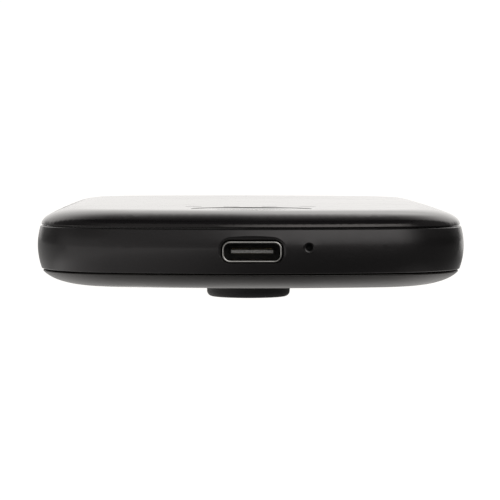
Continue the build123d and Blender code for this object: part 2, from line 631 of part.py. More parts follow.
def shield(x_span, y_span):
    """Stamped lid with a hollow inside and a row of vent holes."""
    can = block(x_span, y_span, (BOARD_TOP_Z, SHIELD_TOP_Z))
    can = fillet(can.edges().filter_by(Axis.Z), 0.6)
    inner_x = (x_span[0] + SHIELD_WALL, x_span[1] - SHIELD_WALL)
    inner_y = (y_span[0] + SHIELD_WALL, y_span[1] - SHIELD_WALL)
    can -= block(inner_x, inner_y, (BOARD_TOP_Z - CUT, SHIELD_TOP_Z - SHIELD_WALL))
    middle_x = (x_span[0] + x_span[1]) / 2
    count = 5
    for index in range(count):
        y = y_span[0] + (y_span[1] - y_span[0]) * (index + 1) / (count + 1)
        can -= post(middle_x, y, 0.5, SHIELD_TOP_Z - CUT / 2, SHIELD_TOP_Z + CUT)
    return can


def chip(x, y, size_x, size_y, height):
    body = block((x - size_x / 2, x + size_x / 2), (y - size_y / 2, y + size_y / 2),
                 (BOARD_TOP_Z, BOARD_TOP_Z + height))
    return chamfer(body.edges().group_by(Axis.Z)[-1], 0.1)


def passives():
    """Small resistors and capacitors in neat rows beside the chips."""
    parts = []
    for row in range(4):
        for column in range(6):
            x, y = 14.0 + 2.2 * column, -36.0 + 2.4 * row
            parts.append(block((x - 0.5, x + 0.5), (y - 0.25, y + 0.25), (BOARD_TOP_Z, BOARD_TOP_Z + 0.5)))
    return Compound(children=parts)


def power_inductors():
    parts = []
    for x in (-26.0, -20.5, -15.0):
        coil = block((x - 2, x + 2), (-33.0, -29.0), (BOARD_TOP_Z, BOARD_TOP_Z + 1.9))
        coil = chamfer(coil.edges().filter_by(Axis.Z), 0.7)
        parts.append(fillet(coil.edges().group_by(Axis.Z)[-1], 0.2))
    return Compound(children=parts)


def thermal_pad():
    return block((-20.0, -10.0), (-4.0, 6.0), (BOARD_TOP_Z + 1.0, SHIELD_TOP_Z - SHIELD_WALL))


def heat_spreader():
    plate = block((-25.6, 12.5), (-13.5, 31.5), (SHIELD_TOP_Z, TRAY_LOW_Z - 0.05))
    return fillet(plate.edges().filter_by(Axis.Z), 2.0)


# ================================================================ battery
def battery_tray():
    """Floor with a low rim round the battery and four ears that screw to the frame."""
    wall = 0.8
    clear = 0.5
    x_out = BATTERY_HALF_X + clear + wall
    y_front, y_back = BATTERY_FRONT_Y - 4.6, BATTERY_BACK_Y + clear + wall
    tray = block((-x_out, x_out), (y_front, y_back), (TRAY_LOW_Z, TRAY_RIM_Z))
    tray = fillet(tray.edges().filter_by(Axis.Z), 2.0)
    tray -= block((-x_out + wall, x_out - wall), (y_front + wall, y_back - wall), (TRAY_FLOOR_Z, TRAY_RIM_Z + CUT))
    tray -= block((LEAD_X - 3.0, LEAD_X + 3.0), (y_front - CUT, y_front + wall + 0.1),
                  (TRAY_FLOOR_Z + 0.5, TRAY_RIM_Z + CUT))
    for x, y in TRAY_SCREWS:
        inner = math.copysign(x_out - 0.4, x)
        tray += block(sorted((inner, x)), (y - 1.9, y + 1.9), (TRAY_LOW_Z, TRAY_FLOOR_Z))
        tray += post(x, y, 1.9, TRAY_LOW_Z, TRAY_FLOOR_Z)
    for x, y in TRAY_SCREWS:
        tray -= post(x, y, 0.8, TRAY_LOW_Z - CUT, TRAY_FLOOR_Z + CUT)
    for y in (-12.0, 22.0):
        for x in (-12.0, 12.0):
            window = Pos(x, y, TRAY_LOW_Z - CUT) * RectangleRounded(14, 16, 2)
            tray -= extrude(window, 2 * CUT + 0.5, dir=(0, 0, 1))
    return tray


def battery_adhesive():
    low_z = TRAY_FLOOR_Z
    strips = [block((x - 1.5, x + 1.5), (-18.0, 30.0), (low_z, BATTERY_LOW_Z)) for x in (-22.0, 0.0, 22.0)]
    return Compound(children=strips)


def battery_cell():
    cell = block((-BATTERY_HALF_X, BATTERY_HALF_X), (BATTERY_FRONT_Y, BATTERY_BACK_Y),
                 (BATTERY_LOW_Z, BATTERY_HIGH_Z))
    return fillet(cell.edges(), 1.2)


def battery_board():
    z_span = (BATTERY_BOARD_Z, BATTERY_BOARD_Z + BATTERY_BOARD_THICKNESS)
    return block((-18.0, 18.0), (BATTERY_FRONT_Y - 3.3, BATTERY_FRONT_Y - 0.3), z_span)


def battery_tape():
    """Insulating tape folded over the cell's protection board."""
    front = BATTERY_FRONT_Y - 3.5
    low_z = BATTERY_BOARD_Z + BATTERY_BOARD_THICKNESS + 0.05
    thickness = 0.1
    fold = block((-19.0, 19.0), (front, BATTERY_FRONT_Y - 0.05), (low_z, low_z + thickness))
    fold += block((-19.0, 19.0), (front - thickness, front), (BATTERY_BOARD_Z - 0.2, low_z + thickness))
    return fold


def battery_socket():
    body = block((LEAD_X - 3.0, LEAD_X + 3.0), (-42.0, -38.2), (BOARD_TOP_Z, BOARD_TOP_Z + 2.0))
    well = block((LEAD_X - 2.4, LEAD_X + 2.4), (-40.0, -38.2 + CUT), (BOARD_TOP_Z + 0.4, BOARD_TOP_Z + 2.0 + CUT))
    return body - well


def battery_plug():
    body = block((LEAD_X - 2.3, LEAD_X + 2.3), (-39.9, PLUG_BACK_Y), (BOARD_TOP_Z + 0.45, BOARD_TOP_Z + 1.95))
    return chamfer(body.edges().filter_by(Axis.Z), 0.2)


def battery_lead(offset):
    """Wire from the cell's board, forward and down to the plug."""
    radius, bend = 0.42, 1.5
    x = LEAD_X + offset * LEAD_PITCH
    plug_z, board_z = BOARD_TOP_Z + 1.2, BATTERY_BOARD_Z + BATTERY_BOARD_THICKNESS / 2
    path = FilletPolyline(
        (x, PLUG_BACK_Y, plug_z),
        (x, PLUG_BACK_Y + 2.4, plug_z),
        (x, PLUG_BACK_Y + 5.4, board_z),
        (x, BATTERY_FRONT_Y - 3.6, board_z),
        radius=bend,
    )
    section = Plane(origin=path @ 0, z_dir=path % 0) * Circle(radius)
    return sweep(section, path)


# ================================================================ antennas
def antenna_carrier():
    """Moulded block across the back end, clear of the corner bosses."""
    low_z, high_z = BOARD_TOP_Z + 0.1, ANTENNA_TOP_Z
    inside = slab(FRAME_INNER_INSET + 0.5, low_z, high_z)
    carrier = block((-20.0, 20.0), (45.0, 54.0), (low_z, high_z)) & inside
    carrier -= block((-17.0, 17.0), (46.5, 50.0), (low_z + 1.0, high_z + CUT))
    for x in (-15.0, 15.0):
        carrier -= block((x - 2.2, x + 2.2), (45.0 - CUT, 49.0), (low_z - CUT, low_z + 1.6))
    return carrier


def main_antenna():
    """Copper pattern along the carrier's outer wall."""
    low_z, high_z = BOARD_TOP_Z + 0.6, ANTENNA_TOP_Z - 0.2
    strip = ring(FRAME_INNER_INSET + 0.3, FRAME_INNER_INSET + 0.45, low_z, high_z)
    strip &= block((-19.0, 19.0), (40.0, 54.0), (low_z, high_z))
    for x in (-12.0, -2.0, 8.0):
        strip -= block((x, x + 1.2), (40.0, 54.0), (low_z + 1.2, high_z + CUT))
    return strip


def side_antenna(side, y_span):
    """Flexible strip on the inside of one long wall."""
    low_z, high_z = BOARD_TOP_Z + 2.1, ANTENNA_TOP_Z + 0.1
    strip = ring(FRAME_INNER_INSET + 0.05, FRAME_INNER_INSET + 0.2, low_z, high_z)
    x_span = sorted((side * 20.0, side * 40.0))
    strip &= block(x_span, y_span, (low_z, high_z))
    middle = (y_span[0] + y_span[1]) / 2
    return strip - block(x_span, (middle, middle + 1.0), (low_z + 0.8, high_z + CUT))


def antenna_contacts():
    """C-shaped spring clips that stand on the board under the carrier."""
    clips = []
    for x in (-15.0, 15.0):
        clip = block((x - 1.0, x + 1.0), (45.4, 48.4), (BOARD_TOP_Z, BOARD_TOP_Z + 1.6))
        clip -= block((x - 1.0 - CUT, x + 1.0 + CUT), (45.4 - CUT, 48.2), (BOARD_TOP_Z + 0.2, BOARD_TOP_Z + 1.4))
        clips.append(clip)
    return Compound(children=clips)


# ================================================================ fasteners
def shell_screws():
    head_height = 0.7
    one = screw(SCREW_RADIUS, SCREW_HEAD_RADIUS, SHELL_FLOOR_Z - head_height, head_height, SCREW_TIP_Z)
    return Compound(children=[Pos(x, y, 0) * one for x, y in CORNER_SCREWS])


def tray_screws():
    one = screw(0.7, 1.25, TRAY_FLOOR_Z, 0.5, BOARD_TOP_Z + 0.7)
    return Compound(children=[Pos(x, y, 0) * one for x, y in TRAY_SCREWS])


# ================================================================ all the nodes
PIECES = {
    "top_cover": top_cover,
    "cover_adhesive": cover_adhesive,
    "mid_frame": mid_frame,
    "bottom_shell": bottom_shell,
    "rubber_foot": rubber_foot,
    "foot_adhesive": foot_adhesive,
    "blank_label": lambda: label_block(0.0, CASE_BOTTOM_Z + 0.04, CASE_BOTTOM_Z + 0.14),
    "shell_screws": shell_screws,
    "power_button": power_button,
    "power_switch_body": power_switch_body,
    "power_switch_plunger": power_switch_plunger,
    "light_guide": light_guide,
    "status_lights": status_lights,
    "usb_c_shell": usb_c_shell,
    "usb_c_tongue": usb_c_tongue,
    "usb_c_contacts": usb_c_contacts,
    "usb_gasket": usb_gasket,
    "reset_switch_body": reset_switch_body,
    "reset_plunger": reset_plunger,
    "sim_tray": sim_tray,
    "sim_card": sim_card,
    "sim_reader": sim_reader,
    "main_board": main_board,
    "modem_shield": lambda: shield((-27.0, -3.0), (-14.0, 12.0)),
    "wifi_shield": lambda: shield((-27.0, -3.0), (15.0, 32.0)),
    "power_shield": lambda: shield((0.0, 12.5), (-14.0, 8.0)),
    "modem_chip": lambda: chip(-15.0, 1.0, 12.0, 12.0, 1.0),
    "wifi_chip": lambda: chip(-15.0, 23.5, 9.0, 9.0, 0.9),
    "power_chip": lambda: chip(6.2, -3.0, 7.0, 7.0, 0.9),
    "memory_chip": lambda: chip(21.0, -8.0, 9.0, 11.0, 1.0),
    "power_inductors": power_inductors,
    "passives": passives,
    "thermal_pad": thermal_pad,
    "heat_spreader": heat_spreader,
    "battery_tray": battery_tray,
    "tray_screws": tray_screws,
    "battery_adhesive": battery_adhesive,
    "battery_cell": battery_cell,
    "battery_board": battery_board,
    "battery_tape": battery_tape,
    "battery_socket": battery_socket,
    "battery_plug": battery_plug,
    "positive_lead": lambda: battery_lead(1),
    "sense_lead": lambda: battery_lead(0),
    "negative_lead": lambda: battery_lead(-1),
    "antenna_carrier": antenna_carrier,
    "main_antenna": main_antenna,
    "diversity_antenna": lambda: side_antenna(-1, (-8.0, 28.0)),
    "wifi_antenna": lambda: side_antenna(1, (-12.0, 8.0)),
    "antenna_contacts": antenna_contacts,
}

for name, make in PIECES.items():
    save(make(), name)
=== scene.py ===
"""Looks of the mobile hotspot: the material of every piece, the studio and the camera."""
import json
import math

import bpy
from mathutils import Matrix, Vector


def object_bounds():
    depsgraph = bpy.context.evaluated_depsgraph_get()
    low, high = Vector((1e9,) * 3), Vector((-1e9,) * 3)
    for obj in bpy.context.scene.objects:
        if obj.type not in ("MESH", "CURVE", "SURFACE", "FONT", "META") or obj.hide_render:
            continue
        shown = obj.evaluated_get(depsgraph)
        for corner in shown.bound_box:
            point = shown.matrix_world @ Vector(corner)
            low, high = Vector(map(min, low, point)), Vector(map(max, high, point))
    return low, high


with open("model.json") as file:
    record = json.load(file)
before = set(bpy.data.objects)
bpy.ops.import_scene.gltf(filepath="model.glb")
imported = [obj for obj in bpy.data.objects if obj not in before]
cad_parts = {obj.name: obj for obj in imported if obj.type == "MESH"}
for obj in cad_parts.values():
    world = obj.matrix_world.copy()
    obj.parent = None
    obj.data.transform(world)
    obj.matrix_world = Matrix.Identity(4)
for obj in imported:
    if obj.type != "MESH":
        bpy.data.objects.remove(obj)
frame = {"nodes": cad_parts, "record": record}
cad_low, cad_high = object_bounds()
NODES = frame["nodes"]
RECORD = frame["record"]
MM = 0.001
MICRON = 0.001 * MM
SLOT_OF = {part["node"]: part["material_slot"] for part in RECORD["subparts"]}
COLOUR_OF = {entry["slot"]: tuple(entry["base_color"]) for entry in RECORD["materials"]}

# A Mix node has separate sockets for each type of data: its two inputs, and its result.
MIX_COLOURS, MIXED_COLOUR = (6, 7), 2
MIX_NUMBERS, MIXED_NUMBER = (2, 3), 0


# ================================================================ node helpers
class Surface:
    """One procedural material, with short calls for the shader nodes used here."""

    def __init__(self, name):
        self.material = bpy.data.materials.new(name)
        self.material.use_nodes = True
        self.nodes = self.material.node_tree.nodes
        self.links = self.material.node_tree.links
        self.shader = self.nodes["Principled BSDF"]
        self.place = self.nodes.new("ShaderNodeTexCoord").outputs["Object"]

    def put(self, value, socket):
        """Link a socket, or set a constant on it."""
        if isinstance(value, bpy.types.NodeSocket):
            self.links.new(value, socket)
        else:
            socket.default_value = value

    def put_colour(self, colour, socket):
        """Link a colour, or set a constant colour given without its alpha."""
        self.put(colour if isinstance(colour, bpy.types.NodeSocket) else (*colour, 1.0), socket)

    def parts(self, vector):
        """X, Y and Z of a vector."""
        node = self.nodes.new("ShaderNodeSeparateXYZ")
        self.links.new(vector, node.inputs[0])
        return node.outputs

    def stretched(self, scale):
        """Place in the row frame, multiplied by a factor on each axis."""
        node = self.nodes.new("ShaderNodeMapping")
        self.links.new(self.place, node.inputs["Vector"])
        node.inputs["Scale"].default_value = scale
        return node.outputs["Vector"]

    def noise(self, scale, detail=2.0, rough=0.5, vector=None, warp=0.0):
        """Soft noise, mostly 0.3 to 0.7, with that many features in a metre."""
        node = self.nodes.new("ShaderNodeTexNoise")
        self.links.new(vector or self.place, node.inputs["Vector"])
        node.inputs["Scale"].default_value = scale
        node.inputs["Detail"].default_value = detail
        node.inputs["Roughness"].default_value = rough
        node.inputs["Distortion"].default_value = warp
        return node.outputs["Fac"]

    def cells(self, scale, feature="F1"):
        """Distance from the middle of the nearest cell, with that many cells in a metre."""
        node = self.nodes.new("ShaderNodeTexVoronoi")
        node.feature = feature
        self.links.new(self.place, node.inputs["Vector"])
        node.inputs["Scale"].default_value = scale
        return node.outputs["Distance"]

    def spread(self, value, from_low, from_high, to_low, to_high, smooth=False):
        """Map one range to another, clamped."""
        node = self.nodes.new("ShaderNodeMapRange")
        node.interpolation_type = "SMOOTHSTEP" if smooth else "LINEAR"
        self.links.new(value, node.inputs["Value"])
        node.inputs["From Min"].default_value = from_low
        node.inputs["From Max"].default_value = from_high
        node.inputs["To Min"].default_value = to_low
        node.inputs["To Max"].default_value = to_high
        return node.outputs["Result"]

    def math(self, kind, first, second):
        node = self.nodes.new("ShaderNodeMath")
        node.operation = kind
        self.put(first, node.inputs[0])
        self.put(second, node.inputs[1])
        return node.outputs[0]

    def mixed(self, factor, first, second):
        """Blend of two colours."""
        node = self.nodes.new("ShaderNodeMix")
        node.data_type = "RGBA"
        self.put(factor, node.inputs[0])
        for number, colour in zip(MIX_COLOURS, (first, second)):
            self.put_colour(colour, node.inputs[number])
        return node.outputs[MIXED_COLOUR]

    def edges(self, width):
        """1 on sharp edges, 0 on flat faces."""
        bevel = self.nodes.new("ShaderNodeBevel")
        bevel.samples = 4
        bevel.inputs["Radius"].default_value = width
        geometry = self.nodes.new("ShaderNodeNewGeometry")
        dot = self.nodes.new("ShaderNodeVectorMath")
        dot.operation = "DOT_PRODUCT"
        self.links.new(bevel.outputs["Normal"], dot.inputs[0])
        self.links.new(geometry.outputs["Normal"], dot.inputs[1])
        return self.spread(dot.outputs["Value"], 0.98, 0.8, 0.0, 1.0)

    def relief(self, height, depth, onto=None):
        """Bump of that depth in metres, which may lie on another bump."""
        node = self.nodes.new("ShaderNodeBump")
        node.inputs["Distance"].default_value = depth
        self.links.new(height, node.inputs["Height"])
        if onto:
            self.links.new(onto, node.inputs["Normal"])
        return node.outputs["Normal"]

    def finish(self, colour, roughness, normal, **constants):
        """Fill in the shader. The constants are its other inputs, by name."""
        self.put_colour(colour, self.shader.inputs["Base Color"])
        self.put(roughness, self.shader.inputs["Roughness"])
        self.links.new(normal, self.shader.inputs["Normal"])
        for name, value in constants.items():
            self.shader.inputs[name.replace("_", " ")].default_value = value
        return self.material


def scaled(colour, factor):
    return tuple(min(1.0, channel * factor) for channel in colour)


# ================================================================ families of finish
DUST_COLOUR = (0.18, 0.17, 0.16)
VIA_COLOUR = (0.55, 0.50, 0.38)
SMOKE_DARK, SMOKE_PALE = (0.30, 0.31, 0.33), (0.42, 0.43, 0.45)
RIPPLE_DEPTH = 4.0 * MICRON
HAIRLINE_DEPTH = 1.5 * MICRON
TRACE_DEPTH = 30.0 * MICRON
FIBRE_DEPTH = 3.0 * MICRON
FLOW_DEPTH = 6.0 * MICRON
MOULDED_EDGE = 0.15 * MM          # widths of the rubbed edges
METAL_EDGE = 0.08 * MM
RUBBER_EDGE = 0.3 * MM
TONGUE_PAINTED_HIGHLIGHT_Y = (-52.08 * MM, -52.04 * MM)    # where the painted highlight on the tip of the receptacle's blade ends


def gloss(slot, roughness, haze, scratch_depth, **constants):
    """Polished moulding: faint smudges in the gloss, hairline scratches and a few specks of dust."""
    colour = COLOUR_OF[slot]
    surface = Surface(slot)
    smudge = surface.noise(38.0, detail=5.0, rough=0.6, warp=0.8)
    fine_smudge = surface.noise(420.0, detail=3.0)
    level = surface.math("ADD", surface.spread(smudge, 0.35, 0.75, roughness, roughness + haze),
                         surface.spread(fine_smudge, 0.5, 0.8, 0.0, haze * 0.5))
    lines_along_y = surface.noise(900.0, detail=1.0, vector=surface.stretched((1.0, 0.03, 1.0)))
    lines_along_x = surface.noise(1100.0, detail=1.0, vector=surface.stretched((0.04, 1.0, 1.0)))
    scratch = surface.math("ADD", surface.spread(lines_along_y, 0.70, 0.74, 0.0, 1.0),
                           surface.spread(lines_along_x, 0.71, 0.75, 0.0, 1.0))
    ripple = surface.relief(surface.noise(70.0, detail=1.0), RIPPLE_DEPTH)
    normal = surface.relief(scratch, scratch_depth, onto=ripple)
    dust = surface.spread(surface.cells(620.0), 0.0, 0.06, 1.0, 0.0)
    dust = surface.math("MULTIPLY", dust, surface.spread(surface.noise(150.0), 0.6, 0.68, 0.0, 1.0))
    shade = surface.mixed(smudge, scaled(colour, 0.8), scaled(colour, 1.25))
    shade = surface.mixed(surface.math("MULTIPLY", dust, 0.5), shade, DUST_COLOUR)
    return surface.finish(shade, level, normal, **constants)


def moulded(slot, roughness, grain_scale, grain_depth, mottle=0.12, wear=0.0, **constants):
    """Satin or matt moulding: spark-eroded grain, slow mottling, rubbed edges."""
    colour = COLOUR_OF[slot]
    surface = Surface(slot)
    slow = surface.noise(55.0, detail=4.0, rough=0.55)
    grain = surface.noise(grain_scale, detail=3.0, rough=0.6)
    pits = surface.cells(grain_scale * 0.55)
    height = surface.math("ADD", grain, surface.math("MULTIPLY", pits, 0.6))
    level = surface.math("ADD", surface.spread(slow, 0.3, 0.7, roughness - 0.03, roughness + 0.04),
                         surface.spread(grain, 0.3, 0.7, -0.02, 0.03))
    shade = surface.mixed(slow, scaled(colour, 1 - mottle), scaled(colour, 1 + mottle))
    shade = surface.mixed(surface.spread(grain, 0.35, 0.7, 0.0, 0.5), shade, scaled(colour, 1.5))
    if wear:
        rubbed = surface.math("MULTIPLY", surface.edges(MOULDED_EDGE),
                              surface.spread(slow, 0.35, 0.6, 0.3, 1.0))
        shade = surface.mixed(surface.math("MULTIPLY", rubbed, wear), shade, scaled(colour, 3.0))
    return surface.finish(shade, level, surface.relief(height, grain_depth), **constants)


def brushed(slot, roughness, along, wear):
    """Rolled or drawn metal: fine lines along one axis, dulled patches and bright edges."""
    colour = COLOUR_OF[slot]
    surface = Surface(slot)
    factors = [0.03 if axis == along else 1.0 for axis in "XYZ"]
    lines = surface.noise(9000.0, detail=3.0, rough=0.6, vector=surface.stretched(factors))
    patches = surface.noise(160.0, detail=4.0, rough=0.6)
    level = surface.math("ADD", surface.spread(patches, 0.3, 0.7, roughness - 0.05, roughness + 0.08),
                         surface.spread(lines, 0.3, 0.7, -0.03, 0.05))
    shade = surface.mixed(patches, scaled(colour, 0.82), scaled(colour, 1.08))
    shade = surface.mixed(surface.spread(lines, 0.4, 0.7, 0.0, 0.35), shade, scaled(colour, 0.65))
    rubbed = surface.math("MULTIPLY", surface.edges(METAL_EDGE), wear)
    shade = surface.mixed(rubbed, shade, scaled(colour, 1.25))
    return surface.finish(shade, level, surface.relief(lines, HAIRLINE_DEPTH), Metallic=1.0)


def soft(slot, roughness, pebble_scale, pebble_depth, **constants):
    """Rubber or silicone: fine pebble, dusty bloom and rubbed edges."""
    colour = COLOUR_OF[slot]
    surface = Surface(slot)
    bloom = surface.noise(260.0, detail=5.0, rough=0.65)
    pebble = surface.cells(pebble_scale)
    level = surface.spread(bloom, 0.3, 0.7, roughness - 0.06, roughness + 0.08)
    shade = surface.mixed(surface.spread(bloom, 0.35, 0.75, 0.0, 1.0),
                          scaled(colour, 0.85), scaled(colour, 1.3))
    rubbed = surface.math("MULTIPLY", surface.edges(RUBBER_EDGE), 0.35)
    shade = surface.mixed(rubbed, shade, scaled(colour, 2.2))
    return surface.finish(shade, level, surface.relief(pebble, pebble_depth), **constants)


def circuit(slot, trace_scale, trace_tint, roughness, **constants):
    """Board or flexible circuit: blocky raised traces, small vias and solder-mask sheen."""
    colour = COLOUR_OF[slot]
    surface = Surface(slot)
    pattern = surface.nodes.new("ShaderNodeTexBrick")
    pattern.offset = 0.37
    pattern.squash = 0.6
    pattern.squash_frequency = 3
    surface.links.new(surface.place, pattern.inputs["Vector"])
    pattern.inputs["Scale"].default_value = trace_scale
    pattern.inputs["Mortar Size"].default_value = 0.035
    pattern.inputs["Mortar Smooth"].default_value = 0.1
    traces = pattern.outputs["Fac"]
    vias = surface.spread(surface.cells(trace_scale * 2.2), 0.10, 0.14, 1.0, 0.0)
    mottle = surface.noise(200.0, detail=3.0)
    shade = surface.mixed(mottle, scaled(colour, 0.85), scaled(colour, 1.15))
    shade = surface.mixed(surface.math("MULTIPLY", traces, 0.75), shade, trace_tint)
    shade = surface.mixed(surface.math("MULTIPLY", vias, 0.8), shade, VIA_COLOUR)
    level = surface.spread(mottle, 0.3, 0.7, roughness - 0.04, roughness + 0.06)
    height = surface.math("SUBTRACT", traces, vias)
    return surface.finish(shade, level, surface.relief(height, TRACE_DEPTH), **constants)


def foil(slot, roughness, crinkle_depth):
    """Laminated pouch foil: soft crinkles and dents."""
    colour = COLOUR_OF[slot]
    surface = Surface(slot)
    dents = surface.noise(120.0, detail=2.0, warp=1.5)
    crinkle = surface.cells(420.0, feature="SMOOTH_F1")
    weave = surface.noise(5200.0, detail=2.0)
    level = surface.spread(dents, 0.3, 0.7, roughness - 0.06, roughness + 0.1)
    shade = surface.mixed(dents, scaled(colour, 0.85), scaled(colour, 1.05))
    shade = surface.mixed(surface.spread(weave, 0.4, 0.7, 0.0, 0.3), shade, scaled(colour, 0.7))
    height = surface.math("ADD", surface.math("MULTIPLY", dents, 1.6), surface.math("MULTIPLY", crinkle, 0.5))
    return surface.finish(shade, level, surface.relief(height, crinkle_depth), Metallic=1.0)


def insulator_painted_light(slot, roughness):
    """Black insulator with painted light: the whole piece is darkened as painted shade of the port's hollow,
    and the tip of the blade is a pale, speckled painted highlight.
    """
    colour = COLOUR_OF[slot]
    surface = Surface(slot)
    fibres = surface.noise(3200.0, detail=3.0, vector=surface.stretched((1.0, 0.3, 1.0)))
    speckle = surface.spread(surface.noise(5200.0, detail=2.0), 0.4, 0.62, 0.0, 1.0)
    # painted highlight mask: 1 at the front tip of the blade, 0 behind it
    tip_highlight_mask = surface.spread(surface.parts(surface.place)[1], *TONGUE_PAINTED_HIGHLIGHT_Y, 1.0, 0.0)
    # painted shade: the rest of the piece is cut to a small fraction of its colour, for the shade inside the
    # port
    painted_shade_body = surface.mixed(fibres, scaled(colour, 0.06), scaled(colour, 0.14))
    # painted highlight: the tip is made pale, with speckle
    painted_highlight_tip = surface.mixed(speckle, scaled(colour, 1.7), scaled(colour, 3.2))
    level = surface.spread(fibres, 0.3, 0.7, roughness - 0.04, roughness + 0.06)
    shade = surface.mixed(tip_highlight_mask, painted_shade_body, painted_highlight_tip)
    return surface.finish(shade, level, surface.relief(fibres, FIBRE_DEPTH))


def clear(slot):
    """Smoked acrylic with moulding flow lines."""
    surface = Surface(slot)
    flow = surface.noise(300.0, detail=2.0, vector=surface.stretched((0.2, 1.0, 1.0)))
    shade = surface.mixed(flow, SMOKE_DARK, SMOKE_PALE)
    level = surface.spread(flow, 0.3, 0.7, 0.05, 0.13)
    return surface.finish(shade, level, surface.relief(flow, FLOW_DEPTH), IOR=1.49, Transmission_Weight=0.6)


# ================================================================ materials
WARM_SHINE = (1.0, 0.955, 0.935, 1.0)
PLUM_SHINE = (1.0, 0.95, 0.98, 1.0)
TRACE_GREEN = (0.035, 0.17, 0.085)
TRACE_COPPER = (0.45, 0.22, 0.08)

MATERIALS = {
    # outside
    "cover_gloss": gloss("cover_gloss", 0.035, 0.05, 0.6 * MICRON, IOR=1.5, Specular_Tint=WARM_SHINE),
    "button_gloss": gloss("button_gloss", 0.03, 0.05, 0.6 * MICRON, IOR=1.52, Specular_Tint=WARM_SHINE),
    "light_guide": clear("light_guide"),
    "led_white": moulded("led_white", 0.35, 3000.0, 2.0 * MICRON),
    "frame_satin": moulded("frame_satin", 0.32, 5200.0, 3.5 * MICRON, wear=0.35,
                           IOR=1.5, Specular_Tint=PLUM_SHINE,
                           Specular_IOR_Level=0.36, Coat_Weight=0.45, Coat_Roughness=0.11),
    "tray_satin": moulded("tray_satin", 0.30, 5200.0, 3.5 * MICRON, wear=0.35, IOR=1.5),
    "shell_satin": moulded("shell_satin", 0.36, 3600.0, 6.0 * MICRON, wear=0.35,
                           IOR=1.48, Specular_Tint=WARM_SHINE, Coat_Weight=0.10, Coat_Roughness=0.10),
    "foot_rubber": soft("foot_rubber", 0.66, 4200.0, 10.0 * MICRON,
                        Specular_IOR_Level=0.30, Sheen_Weight=0.01, Sheen_Roughness=0.5),
    "seal_rubber": soft("seal_rubber", 0.55, 3600.0, 6.0 * MICRON),
    "tape_black": soft("tape_black", 0.8, 5200.0, 10.0 * MICRON),
    "tape_amber": gloss("tape_amber", 0.22, 0.12, 2.0 * MICRON, Coat_Weight=0.3),
    "label_grey": moulded("label_grey", 0.5, 7000.0, 2.0 * MICRON, wear=0.2),
    # port, switches and screws
    "port_steel": brushed("port_steel", 0.18, "X", wear=0.3),
    # the port's insulator has painted shade on its body and a painted highlight on its blade's tip
    "port_plastic": insulator_painted_light("port_plastic", 0.5),
    "gold": brushed("gold", 0.22, "Y", wear=0.2),
    "switch_black": moulded("switch_black", 0.45, 4200.0, 4.0 * MICRON, wear=0.2),
    "switch_white": moulded("switch_white", 0.42, 4200.0, 4.0 * MICRON, mottle=0.05),
    "screw_black": brushed("screw_black", 0.38, "X", wear=0.8),
    "screw_zinc": brushed("screw_zinc", 0.3, "X", wear=0.5),
    # electronics
    "shield_steel": brushed("shield_steel", 0.33, "Y", wear=0.4),
    "reader_steel": brushed("reader_steel", 0.27, "X", wear=0.4),
    "board_green": circuit("board_green", 420.0, TRACE_GREEN, 0.3, Coat_Weight=0.3),
    "chip_black": moulded("chip_black", 0.5, 4800.0, 4.0 * MICRON, wear=0.3),
    "inductor_grey": moulded("inductor_grey", 0.6, 2600.0, 10.0 * MICRON, mottle=0.25, wear=0.4),
    "passive_tan": moulded("passive_tan", 0.5, 6000.0, 3.0 * MICRON, mottle=0.2),
    "thermal_grey": soft("thermal_grey", 0.75, 2600.0, 10.0 * MICRON),
    "spreader_alu": brushed("spreader_alu", 0.32, "Y", wear=0.4),
    # battery, leads, antennas and card
    "tray_inner": moulded("tray_inner", 0.5, 2600.0, 10.0 * MICRON, wear=0.3),
    "battery_foil": foil("battery_foil", 0.34, 60.0 * MICRON),
    "connector_white": moulded("connector_white", 0.45, 3600.0, 4.0 * MICRON, mottle=0.06),
    "lead_red": soft("lead_red", 0.45, 3600.0, 4.0 * MICRON),
    "lead_yellow": soft("lead_yellow", 0.45, 3600.0, 4.0 * MICRON),
    "lead_black": soft("lead_black", 0.45, 3600.0, 4.0 * MICRON),
    "antenna_plastic": moulded("antenna_plastic", 0.5, 2600.0, 8.0 * MICRON, wear=0.25),
    "antenna_copper": brushed("antenna_copper", 0.3, "Y", wear=0.3),
    "antenna_film": circuit("antenna_film", 300.0, TRACE_COPPER, 0.35, Coat_Weight=0.2),
    "card_white": moulded("card_white", 0.4, 5200.0, 3.0 * MICRON, mottle=0.05),
}

for node_name, piece in NODES.items():
    piece.data.materials.clear()
    piece.data.materials.append(MATERIALS[SLOT_OF[node_name]])


